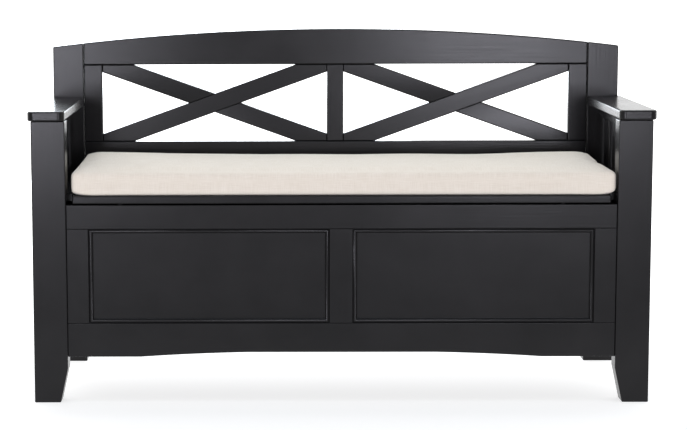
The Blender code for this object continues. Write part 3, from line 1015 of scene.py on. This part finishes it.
def cut_away(piece: bpy.types.Object, tool: bpy.types.Object) -> None:
    """Cut a tool's shape out of a piece for good, and smooth its shading.

    Args:
        piece: The piece that stays.
        tool: The shape to cut away, removed afterwards.
    """
    cut = piece.modifiers.new("lap", "BOOLEAN")
    cut.operation = "DIFFERENCE"
    cut.object = tool
    even = piece.modifiers.new("even_shading", "WEIGHTED_NORMAL")
    even.keep_sharp = True
    apply_modifiers(piece)
    bpy.data.objects.remove(tool, do_unlink=True)


def apply_modifiers(piece: bpy.types.Object) -> None:
    """Replace a piece's mesh by its evaluated one, and drop its modifiers.

    Args:
        piece: The piece.
    """
    graph = bpy.context.evaluated_depsgraph_get()
    mesh = bpy.data.meshes.new_from_object(piece.evaluated_get(graph), depsgraph=graph)
    old = piece.data
    piece.modifiers.clear()
    piece.data = mesh
    bpy.data.meshes.remove(old)
    mesh.name = piece.name


@dataclass
class BoxInside:
    """Floor, back panel, cleats and the fixed boards round the lid."""

    joinery: Joinery
    gap: float = 0.0003
    sheet_ease: float = 0.0008
    sheet_corner: float = 0.001

    def floor(self) -> None:
        """Floor sheet, notched round legs and posts."""
        low, high = node_box("box_floor")
        front = node_box("front_leg_right")[1][1] + self.gap
        rear = node_box("rear_post_right")[0][1] - self.gap
        edge = node_box("floor_cleat_front")[1][0]
        steps = np.array([(edge, low[1]), (edge, front), (high[0], front),
                          (high[0], rear), (edge, rear), (edge, high[1])])
        corners = np.concatenate([steps, steps[::-1] * (-1.0, 1.0)])
        self.joinery.panelled("box_floor", corners, Plane.TOP, self.sheet_ease, self.sheet_corner,
                              (1, 0, 0))

    def build(self) -> None:
        """Make the inside."""
        self.floor()
        for node in ("floor_cleat_front", "floor_cleat_rear", "seat_rear_strip", "seat_rear_rail",
                     "seat_end_left", "seat_end_right", "seat_end_cleat_left", "seat_end_cleat_right"):
            self.joinery.plank(node)
        self.joinery.plank("box_back_panel", self.sheet_ease, self.sheet_corner)


@dataclass
class Lid:
    """Hinged seat board and its battens."""

    joinery: Joinery

    def build(self) -> None:
        """Make the lid."""
        self.joinery.plank("lid", ease=0.0028, corner=0.004)
        for name in SIDES:
            self.joinery.plank(f"lid_batten_{name}", ease=0.002, corner=0.003)


# ---------------------------------------------------------------- hardware
@dataclass
class Screw:
    """Pan-head screw with a cross recess."""

    radius: float = 0.0034
    dome: float = 0.0016
    roundness: float = 0.6
    rim: float = 0.0003
    sides: int = 24
    stations: tuple = (1.0, 1.0, 0.93, 0.80, 0.62, 0.58, 0.40, 0.20, 0.15, 0.06)
    cross_half: float = 0.0005
    cross_reach: float = 0.0019
    cross_depth: float = 0.0011

    def shape(self, centre: Array, axis: Array, spin: float = 0.3) -> Shape:
        """Head as a height over a disc: rim + dome*(1-(r/R)^2)^roundness, sunk inside the cross.

        Args:
            centre: Middle of the head's flat underside.
            axis: Outward direction.
            spin: Turn of the cross, in radians.

        Returns:
            The closed head.
        """
        axis = np.asarray(axis, float)
        helper = np.array([0.0, 1.0, 0.0]) if abs(axis[1]) < 0.5 else np.array([1.0, 0.0, 0.0])
        e1 = np.cross(helper, axis)
        e2 = np.cross(axis, e1)
        r = self.radius * np.array(self.stations)
        angle = np.linspace(0, 2 * math.pi, self.sides, endpoint=False)
        x, y = np.outer(r, np.cos(angle)), np.outer(r, np.sin(angle))
        height = self.dome * (1 - (r[:, None] / self.radius) ** 2) ** self.roundness
        height = height * np.ones((1, self.sides))
        height[1:] += self.rim
        turned = np.array([[math.cos(spin), -math.sin(spin)], [math.sin(spin), math.cos(spin)]])
        p, q = turned @ np.stack([x.ravel(), y.ravel()])
        inside = np.minimum(np.abs(p), np.abs(q)) < self.cross_half
        inside &= np.hypot(p, q) < self.cross_reach
        height = height.ravel() - self.cross_depth * inside
        points = np.asarray(centre) + np.outer(x.ravel(), e1) + np.outer(y.ravel(), e2)
        points = points + np.outer(height, axis)
        return Shape(points, capped_faces(len(r), self.sides))


@dataclass
class Hardware:
    """Hinges, bumpers, and the screws of the back panel and of the lid's battens."""

    finishes: Finishes
    screw: Screw = field(default_factory=Screw)
    barrel_radius: float = 0.0030
    bore_radius: float = 0.0015
    leaf_thick: float = 0.0012
    leaf_gap: float = 0.0003
    leaf_corner: float = 0.002
    leaf_ease: float = 0.0002
    strap_ease: float = 0.0001
    barrel_gap: float = 0.0006
    knuckle_gap: float = 0.0002
    knuckle_bevel: float = 0.0003
    strap_lap: float = 0.001
    strap_top: float = 0.0019
    pin_head: float = 0.0022
    pin_shaft: float = 0.00125
    pin_dome: float = 0.0012
    pin_tip: float = 0.0002
    bumper_round: float = 0.0012
    bumper_foot: float = 0.0003
    panel_inset: float = 0.014
    batten_inset: float = 0.025

    def fit(self, node: str, kind: str, shape: Shape, material: bpy.types.Material,
            sharp: float = SHARP_EDGE) -> None:
        """Add a fitting that stands for a CAD node.

        Args:
            node: The CAD node.
            kind: Last word of the piece's name.
            shape: The surface.
            material: Its material.
            sharp: Angle from which its edges stay sharp.
        """
        piece = new_piece(f"{node}_{kind}", shape, material)
        piece.data.set_sharp_from_angle(angle=sharp)
        settle(piece, body_of(node), slot_of(node), node)

    def knuckle(self, start: float, end: float, y: float, z: float) -> Shape:
        """Barrel stretch with its bore: a ring profile turned about the hinge axis.

        Args:
            start: Its lowest X.
            end: Its highest X.
            y: The axis's place.
            z: The axis's height.

        Returns:
            The closed ring.
        """
        outer, inner, bevel = self.barrel_radius, self.bore_radius, self.knuckle_bevel
        radii = np.array([inner, outer - bevel, outer, outer, outer - bevel, inner])
        heights = np.array([start, start, start + bevel, end - bevel, end, end])
        ring = turned_solid(radii, heights, (0, y, z), (1, 0, 0))
        return Shape(ring.points, ring_faces(len(radii), len(ring.points) // len(radii), closed=True))

    def hinge(self, name: str) -> None:
        """Both leaves and the pin of one hinge.

        Args:
            name: Left or right.
        """
        pin_low, pin_high = node_box(f"hinge_pin_{name}")
        y, z = (pin_low + pin_high)[1:] / 2
        for kind, knuckles in (("frame", (0, 2)), ("lid", (1,))):
            node = f"hinge_{kind}_leaf_{name}"
            low, high = node_box(node)
            third = (high[0] - low[0]) / 3
            side = 1.0 if kind == "frame" else -1.0
            span = sorted((y + side * self.leaf_gap, y + side * (self.leaf_gap + self.leaf_thick)))
            head = z - self.barrel_radius - self.barrel_gap
            plate = Outline.rectangle((low[0], low[2]), (high[0], head), self.leaf_corner, 5)
            shape = eased_solid(plate, -span[1], -span[0], self.leaf_ease, Plane.FRONT, 2)
            shape.normals = None
            for index in knuckles:
                start = low[0] + third * index + self.knuckle_gap
                end = low[0] + third * (index + 1) - self.knuckle_gap
                shape = shape.joined(self.knuckle(start, end, y, z))
                strap = Outline.rectangle((start, head - self.strap_lap), (end, z - self.strap_top),
                                          self.leaf_ease, 1)
                link = eased_solid(strap, -span[1], -span[0], self.strap_ease, Plane.FRONT, 1)
                shape = shape.joined(link)
            self.fit(node, "pressing", shape, self.finishes.steel, math.radians(35))
        self.pin(name, pin_low, pin_high, y, z)

    def pin(self, name: str, low: Array, high: Array, y: float, z: float) -> None:
        """Hinge pin with a domed head at each end: radius head*cos(t), height dome*(1 - sin(t)).

        Args:
            name: Left or right.
            low: Lowest corner of its node.
            high: Highest corner of its node.
            y: The axis's place.
            z: The axis's height.
        """
        t = np.linspace(0, math.pi / 2, 5)
        head, shaft, dome = self.pin_head, self.pin_shaft, self.pin_dome
        left = low[0] + dome * (1 - np.sin(t[:0:-1]))
        radii = np.concatenate([head * np.cos(t[:0:-1]), [head, shaft, shaft, head],
                                head * np.cos(t[1:])])
        right = left[0] + (high[0] - low[0]) - (left[::-1] - left[0])
        necks = [low[0] + dome, low[0] + dome, high[0] - dome, high[0] - dome]
        heights = np.concatenate([left, necks, right])
        radii = np.maximum(radii, self.pin_tip)
        self.fit(f"hinge_pin_{name}", "turning", turned_solid(radii, heights, (0, y, z), (1, 0, 0)),
                 self.finishes.steel)

    def bumper(self, name: str) -> None:
        """Domed rubber pad under the lid's front edge.

        Args:
            name: Left or right.
        """
        node = f"lid_bumper_{name}"
        low, high = node_box(node)
        radius, tall = (high[0] - low[0]) / 2, high[2] - low[2]
        foot, top = radius * 0.96, radius * 0.3
        t = np.linspace(0, math.pi / 2, 7)
        radii = np.concatenate([[foot, radius], radius - self.bumper_round * (1 - np.cos(t[1:])), [top]])
        heights = np.concatenate([[0.0, self.bumper_foot], tall - self.bumper_round * (1 - np.sin(t[1:])),
                                  [tall]])
        centre = ((low[0] + high[0]) / 2, (low[1] + high[1]) / 2, low[2])
        self.fit(node, "pad", turned_solid(radii, heights, centre, (0, 0, 1)), self.finishes.rubber)

    def back_screws(self) -> None:
        """Row of screws round the back panel, on its rear face."""
        low, high = node_box("box_back_panel")
        columns, rows = 6, 3
        x = np.linspace(low[0] + self.panel_inset, high[0] - self.panel_inset, columns)
        z = np.linspace(low[2] + self.panel_inset, high[2] - self.panel_inset, rows)
        places = [(a, b) for a in x for b in (z[0], z[2])] + [(a, z[1]) for a in (x[0], x[-1])]
        heads = [self.screw.shape((a, high[1], b), (0, 1, 0), spin=0.4 * k)
                 for k, (a, b) in enumerate(places)]
        self.join("back_panel_screws", heads, "bench_frame")

    def batten_screws(self) -> None:
        """Screws through the lid's battens, on their undersides."""
        heads = []
        for name in SIDES:
            low, high = node_box(f"lid_batten_{name}")
            middle = (low[0] + high[0]) / 2
            heads += [self.screw.shape((middle, y, low[2]), (0, 0, -1), spin=7 * y)
                      for y in np.linspace(low[1] + self.batten_inset, high[1] - self.batten_inset, 4)]
        self.join("lid_batten_screws", heads, "lid_assembly")

    def join(self, name: str, shapes: list, body: str) -> None:
        """Join several heads into one steel piece on a body.

        Args:
            name: The piece's name.
            shapes: The heads.
            body: The CAD body.
        """
        whole = shapes[0]
        for shape in shapes[1:]:
            whole = whole.joined(shape)
        piece = new_piece(name, whole, self.finishes.steel)
        piece.data.set_sharp_from_angle(angle=SHARP_EDGE)
        settle(piece, body, "hinge_steel")

    def build(self) -> None:
        """Make the hardware."""
        for name in SIDES:
            self.hinge(name)
            self.bumper(name)
        self.back_screws()
        self.batten_screws()


# ---------------------------------------------------------------- cushion
@dataclass
class SeatCushion:
    """Box cushion, inflated as cloth and laid flat on the lid."""

    finishes: Finishes
    voxel: float = 0.006
    pressure: float = 4.0
    frames: int = 20
    edge_height: float = 0.0470
    crown_reach: float = 0.0085
    corner: float = 0.011
    edge: float = 0.005
    seam_hold: float = 0.12
    seam_reach: float = 0.030
    lid_gap: float = 0.0002
    right_proud: float = 0.0015
    bulge_limit: float = 0.001
    stretch_stiffness: float = 40.0
    bend_stiffness: float = 2.0
    side_pull: float = 0.003
    side_power: int = 9
    dent_at: float = -0.045
    dent_reach: float = 0.022
    dent_in: float = 0.004
    dent_down: float = 0.003
    dent_power: int = 12
    corner_lift: float = 0.006
    corner_reach: float = 0.022
    rear_lift: tuple = (0.0068, 0.0046)
    rear_from: float = 0.3
    rear_over: float = 0.65
    rear_power: float = 1.2
    waves: int = 6
    wave_pace: tuple = (9.0, 34.0)
    wave_height: tuple = (0.0002, 0.0005)
    wave_phase: float = 6.3
    seed: int = 11

    def blank(self) -> bpy.types.Object:
        """Flat-topped block, cut to the cushion's seams.

        Returns:
            The new piece.
        """
        low, high = self.block()
        outline = Outline.rectangle(low[:2], high[:2], self.corner, 6)
        shape = eased_solid(outline, low[2], high[2], self.edge, Plane.TOP, 4)
        shape.normals = None
        return new_piece("seat_cushion_cover", shape, self.finishes.cotton)

    def block(self) -> tuple[Array, Array]:
        """Corners of the sewn block: the CAD box up to the top seam, a little proud on the right.

        Returns:
            Its lowest and highest corner.
        """
        low, high = node_box("seat_cushion")
        top = low[2] + self.edge_height
        return low + (0, 0, self.lid_gap), np.array([high[0] + self.right_proud, high[1], top])

    def inflate(self, piece: bpy.types.Object) -> None:
        """Voxel remesh the block, blow it up as cloth for a few frames and sew it.

        Args:
            piece: The block.
        """
        remesh = piece.modifiers.new("voxels", "REMESH")
        remesh.mode = "VOXEL"
        remesh.voxel_size = self.voxel
        apply_modifiers(piece)
        start = vertex_array(piece)
        cloth = piece.modifiers.new("stuffing", "CLOTH")
        cloth.settings.use_pressure = True
        cloth.settings.uniform_pressure_force = self.pressure
        cloth.settings.quality = 5
        cloth.settings.tension_stiffness = self.stretch_stiffness
        cloth.settings.compression_stiffness = self.stretch_stiffness
        cloth.settings.bending_stiffness = self.bend_stiffness
        cloth.settings.effector_weights.gravity = 0.0
        cloth.point_cache.frame_end = self.frames
        for step in range(1, self.frames + 1):
            bpy.context.scene.frame_set(step)
        apply_modifiers(piece)
        bpy.context.scene.frame_set(1)
        swollen = self.stretch_back(vertex_array(piece), start)
        store_vertices(piece, self.sew(start, swollen))

    def stretch_back(self, points: Array, start: Array) -> Array:
        """Undo the drawing in of length and width, by scaling X and Y to the cut size.

        Args:
            points: Vertices after the simulation.
            start: The same vertices before it.

        Returns:
            The scaled vertices.
        """
        for axis in (0, 1):
            low, high = points[:, axis].min(), points[:, axis].max()
            first, last = start[:, axis].min(), start[:, axis].max()
            points[:, axis] = first + (points[:, axis] - low) * (last - first) / (high - low)
        return points

    def sew(self, start: Array, swollen: Array) -> Array:
        """Hold the swelling at the seams and let it go between them.

        A point's swelling is capped, then kept by the share
        hold + (1-hold)*(1-exp(-(s/reach)^2)), s being its distance from the block's
        nearest edge: the root of the two smallest squared distances from its faces.

        Args:
            start: Vertices of the block.
            swollen: The same vertices after the simulation.

        Returns:
            The cushion's vertices, resting flat on the lid.
        """
        low, high = self.block()
        moved = swollen - start
        length = np.linalg.norm(moved, axis=1, keepdims=True)
        moved *= np.minimum(1.0, self.crown_reach / np.maximum(length, 1e-9))
        gaps = np.sort(np.minimum(np.abs(start - low), np.abs(high - start)), axis=1)
        seam = np.hypot(gaps[:, 0], gaps[:, 1])
        share = self.seam_hold + (1 - self.seam_hold) * (1 - np.exp(-(seam / self.seam_reach) ** 2))
        points = start + moved * share[:, None]
        points += self.unevenness(start, share)
        points = self.draw_in(points, low, high)
        points[:, 2] = np.maximum(points[:, 2], low[2])
        for axis in (0, 1):
            least, most = low[axis] - self.bulge_limit, high[axis] + self.bulge_limit
            points[:, axis] = np.clip(points[:, axis], least, most)
        return points

    def unevenness(self, start: Array, share: Array) -> Array:
        """Soft lumps of the filling, which lift the top and push the front and back.

        They are seeded plane waves, height*sin(pace*(x*cos(a) + (y+z)*sin(a)) + phase),
        added up: about a millimetre together.

        Args:
            start: Vertices of the block.
            share: Share of the lumps that each vertex takes.

        Returns:
            The shift of each vertex.
        """
        draw = np.random.default_rng(self.seed)
        lumps = np.zeros(len(start))
        for _ in range(self.waves):
            turn = draw.uniform(0, math.pi)
            pace = draw.uniform(*self.wave_pace)
            across = start[:, 0] * math.cos(turn) + (start[:, 1] + start[:, 2]) * math.sin(turn)
            tall = draw.uniform(*self.wave_height)
            lumps += tall * np.sin(across * pace + draw.uniform(0, self.wave_phase))
        low, high = self.block()
        offset = np.zeros_like(start)
        offset[:, 2] = lumps * share * (start[:, 2] > (low[2] + high[2]) / 2)
        offset[:, 1] = lumps * share * np.sign(start[:, 1] - (low[1] + high[1]) / 2)
        return offset

    def draw_in(self, points: Array, low: Array, high: Array) -> Array:
        """Draw the front, back and right end in, and lift the rear and the corners.

        With ux and uy the place in the block, -1 to 1, and b a vertex's depth below the
        top seam over the block's height:
        the front and back move in by pull*(1-ux^2)*|uy|^9;
        the right end moves in by pull*(1-uy^2)*ux^9, and a dent, exp(-((y-at)/reach)^2)*ux^12,
        takes it in and its top down;
        the rear rises by lift*clip((|ux|-from)/over, 0, 1)^1.2*sqrt((1+uy)/2)*(1-b), more on
        the left;
        the corners rise by lift*exp(-(r/reach)^2)*b, r being the distance from the corner
        seen from above.

        Args:
            points: The cushion's vertices.
            low: Lowest corner of the block.
            high: Highest corner of the block.

        Returns:
            The shifted vertices.
        """
        middle, half = (low + high) / 2, (high - low) / 2
        u = (points - middle) / half
        right, rows = np.clip(u[:, 0], 0, None), np.abs(u[:, 1])
        points[:, 0] -= self.side_pull * (1 - u[:, 1] ** 2) * right ** self.side_power
        points[:, 1] -= self.side_pull * (1 - u[:, 0] ** 2) * np.sign(u[:, 1]) * rows ** self.side_power
        dent = np.exp(-((points[:, 1] - self.dent_at) / self.dent_reach) ** 2) * right ** self.dent_power
        points[:, 0] -= self.dent_in * dent
        points[:, 2] -= self.dent_down * dent * (u[:, 2] > 0)
        reach = np.linalg.norm(np.maximum(half[:2] - np.abs(points[:, :2] - middle[:2]), 0.0), axis=1)
        below = np.clip((high[2] - points[:, 2]) / (high[2] - low[2]), 0.0, 1.0)
        outer = np.clip((np.abs(u[:, 0]) - self.rear_from) / self.rear_over, 0.0, 1.0) ** self.rear_power
        rear = np.sqrt(np.clip((1 + u[:, 1]) / 2, 0.0, 1.0))
        points[:, 2] += np.where(u[:, 0] < 0, *self.rear_lift) * outer * rear * (1 - below)
        points[:, 2] += self.corner_lift * np.exp(-(reach / self.corner_reach) ** 2) * below
        return points

    def weave_map(self, piece: bpy.types.Object) -> None:
        """UV map in metres: each face is laid flat along the axis that it faces most.

        Top and bottom read (x, y), front and back (x, z) and the ends (y, z), so the
        weave breaks at the seams, as on panels that are cut and sewn.

        Args:
            piece: The cushion.
        """
        mesh = piece.data
        count = len(mesh.polygons)
        normals = np.empty(count * 3, np.float32)
        mesh.polygons.foreach_get("normal", normals)
        facing = np.argmax(np.abs(normals.reshape(-1, 3)), axis=1)
        totals = np.empty(count, np.int32)
        mesh.polygons.foreach_get("loop_total", totals)
        loops = np.empty(len(mesh.loops), np.int32)
        mesh.loops.foreach_get("vertex_index", loops)
        corner = vertex_array(piece)[loops]
        picks = np.array([(1, 2), (0, 2), (0, 1)])[np.repeat(facing, totals)]
        uv = np.take_along_axis(corner, picks, axis=1)
        layer = mesh.uv_layers.new(name="weave")
        layer.data.foreach_set("uv", uv.astype(np.float32).ravel())

    def build(self) -> None:
        """Make the cushion."""
        piece = self.blank()
        self.inflate(piece)
        finer = piece.modifiers.new("finer", "SUBSURF")
        finer.levels = finer.render_levels = 1
        apply_modifiers(piece)
        piece.data.shade_smooth()
        self.weave_map(piece)
        settle(piece, body_of("seat_cushion"), slot_of("seat_cushion"), "seat_cushion")


def vertex_array(piece: bpy.types.Object) -> Array:
    """A mesh's vertices as an (N, 3) array.

    Args:
        piece: The mesh object.

    Returns:
        The array.
    """
    points = np.empty(len(piece.data.vertices) * 3)
    piece.data.vertices.foreach_get("co", points)
    return points.reshape(-1, 3)


def store_vertices(piece: bpy.types.Object, points: Array) -> None:
    """Write an (N, 3) array back to a mesh's vertices."""
    piece.data.vertices.foreach_set("co", points.ravel())
    piece.data.update()


# ---------------------------------------------------------------- studio
@dataclass
class Softbox:
    """Rectangular area light."""

    name: str
    place: tuple
    size: tuple
    power: float
    aim: tuple = (0.0, 0.0, 0.4)
    colour: tuple = (1.0, 1.0, 1.0)

    def build(self) -> None:
        """Make the light and point it at its aim."""
        data = bpy.data.lights.new(self.name, "AREA")
        data.shape = "RECTANGLE"
        data.size, data.size_y = self.size
        data.energy = self.power
        data.color = self.colour
        lamp = add_object(self.name, data)
        lamp.location = self.place
        direction = np.array(self.aim) - np.array(self.place)
        lamp.rotation_euler = Vector(direction).to_track_quat("-Z", "Y").to_euler()


@dataclass
class Studio:
    """Pale floor, white surroundings, soft lights and the camera."""

    eye: tuple = (-0.133, -3.977, 0.903)
    pitch: float = 0.114
    yaw: float = -0.0106
    roll: float = -0.0034
    lens: float = 98.1
    shift: tuple = (0.1275, -0.06)
    floor_rings: tuple = (0.5, 2.0, 8.0, 40.0)
    floor_reach: float = 3.0
    # Painted light: stops of the floor's emission, raised under the bench to wash out its cast shadow.
    painted_floor_glow: tuple = ((0.31, 0.03), (0.92, 1.0), (0.41, 0.36), (0.45, 0.37), (0.50, 0.53), (0.60, 0.53))
    world_reach: float = 0.7
    world_strength: tuple = (0.36, 1.7)
    lights: tuple = (
        Softbox("right_softbox", (0.95, -4.6, 0.66), (0.90, 0.80), 48.0, colour=(0.93, 0.925, 1.03)),
        Softbox("left_softbox", (-1.42, -4.4, 0.60), (0.98, 0.86), 54.0, colour=(0.93, 0.925, 1.03)),
        Softbox("rear_softbox", (-1.0, 3.6, 1.5), (2.8, 2.4), 118.0, (-1.0, 0.0, 0.6), (0.86, 0.93, 1.0)),
        Softbox("top_softbox", (0.0, -0.1, 3.0), (2.6, 1.6), 17.0, colour=(0.66, 0.83, 1.0)),
    )

    def camera(self) -> None:
        """Camera that looks along +Y, turned by yaw, pitch and roll."""
        forward = np.array([math.sin(self.yaw) * math.cos(self.pitch),
                            math.cos(self.yaw) * math.cos(self.pitch), -math.sin(self.pitch)])
        right = np.array([math.cos(self.yaw), -math.sin(self.yaw), 0.0])
        up = np.cross(right, forward)
        tilted_right = right * math.cos(self.roll) + up * math.sin(self.roll)
        tilted_up = up * math.cos(self.roll) - right * math.sin(self.roll)
        data = bpy.data.cameras.new("studio_camera")
        data.lens = self.lens
        data.shift_x, data.shift_y = self.shift
        data.clip_end = 200.0
        camera = add_object("studio_camera", data)
        turn = np.stack([tilted_right, tilted_up, -forward], axis=1)
        matrix = np.eye(4)
        matrix[:3, :3] = turn
        matrix[:3, 3] = self.eye
        camera.matrix_world = Matrix(matrix.tolist())
        bpy.context.scene.camera = camera

    def floor(self) -> None:
        """Large pale disc: rings of points on circles; its emission is painted light, dim in front
        of the bench, raised under it to wash out the bench's cast shadow, brightest far behind.

        The painted glow is a row of stops (place, grey) over Y from -reach to reach, its first and
        last one given first.
        """
        sides = 64
        angle = np.linspace(0, 2 * math.pi, sides, endpoint=False)
        circle = np.stack([np.cos(angle), np.sin(angle), 0 * angle], axis=-1)
        points = np.array(self.floor_rings)[:, None, None] * circle
        faces = [tuple(range(sides))] + ring_faces(len(self.floor_rings), sides, flipped=True)
        recipe = Recipe("pale_floor")
        place = recipe.node("SeparateXYZ", Vector=recipe.node("TexCoord").outputs["Object"])
        depth = recipe.node("MapRange", Value=place.outputs["Y"], From_Min=-self.floor_reach,
                            From_Max=self.floor_reach)
        # Painted light: the floor glows more under the bench than in front, lifting the bench's cast
        # shadow.
        ramp = recipe.node("ValToRGB", Fac=depth.outputs["Result"])
        stops = ramp.color_ramp.elements
        for index, (position, grey) in enumerate(self.painted_floor_glow):
            if index < 2:
                stops[index].position = position
            stop = stops[index] if index < 2 else stops.new(position)
            stop.color = (grey, grey, grey, 1.0)
        recipe.set(Base_Color=(0.50, 0.50, 0.50, 1.0), Roughness=0.9, Specular_IOR_Level=0.0,
                   Emission_Color=ramp.outputs["Color"], Emission_Strength=1.6)
        floor = new_piece("studio_floor", Shape(points.reshape(-1, 3), faces), recipe.material)

    def surroundings(self) -> None:
        """White world, dimmer towards the camera's side."""
        world = bpy.data.worlds.new("white_studio")
        bpy.context.scene.world = world
        world.use_nodes = True
        tree = world.node_tree
        place = tree.nodes.new("ShaderNodeTexCoord")
        parts = tree.nodes.new("ShaderNodeSeparateXYZ")
        tree.links.new(place.outputs["Generated"], parts.inputs[0])
        fade = tree.nodes.new("ShaderNodeMapRange")
        ranges = (-self.world_reach, self.world_reach, *self.world_strength)
        for name, value in zip(("From Min", "From Max", "To Min", "To Max"), ranges):
            fade.inputs[name].default_value = value
        tree.links.new(parts.outputs["Y"], fade.inputs["Value"])
        background = tree.nodes["Background"]
        tree.links.new(fade.outputs["Result"], background.inputs["Strength"])
        background.inputs["Color"].default_value = (1.0, 1.0, 1.0, 1.0)

    def build(self) -> None:
        """Set the stage."""
        self.camera()
        self.floor()
        self.surroundings()
        for light in self.lights:
            light.build()
        bpy.context.scene.view_settings.view_transform = "Standard"


# ---------------------------------------------------------------- the bench
def main() -> None:
    """Build the bench piece by piece, then the studio."""
    logging.basicConfig(level=logging.INFO, format="%(name)s: %(message)s")
    finishes = Finishes()
    joinery = Joinery(finishes)
    legs = LegsAndArms(joinery)
    for assembly in (legs, SideFrames(joinery), FrontFrame(joinery), ArchedBack(joinery, legs),
                     BoxInside(joinery), Lid(joinery), Hardware(finishes), SeatCushion(finishes),
                     Studio()):
        LOG.info("building %s", type(assembly).__name__)
        assembly.build()


if __name__ == "__main__":
    main()
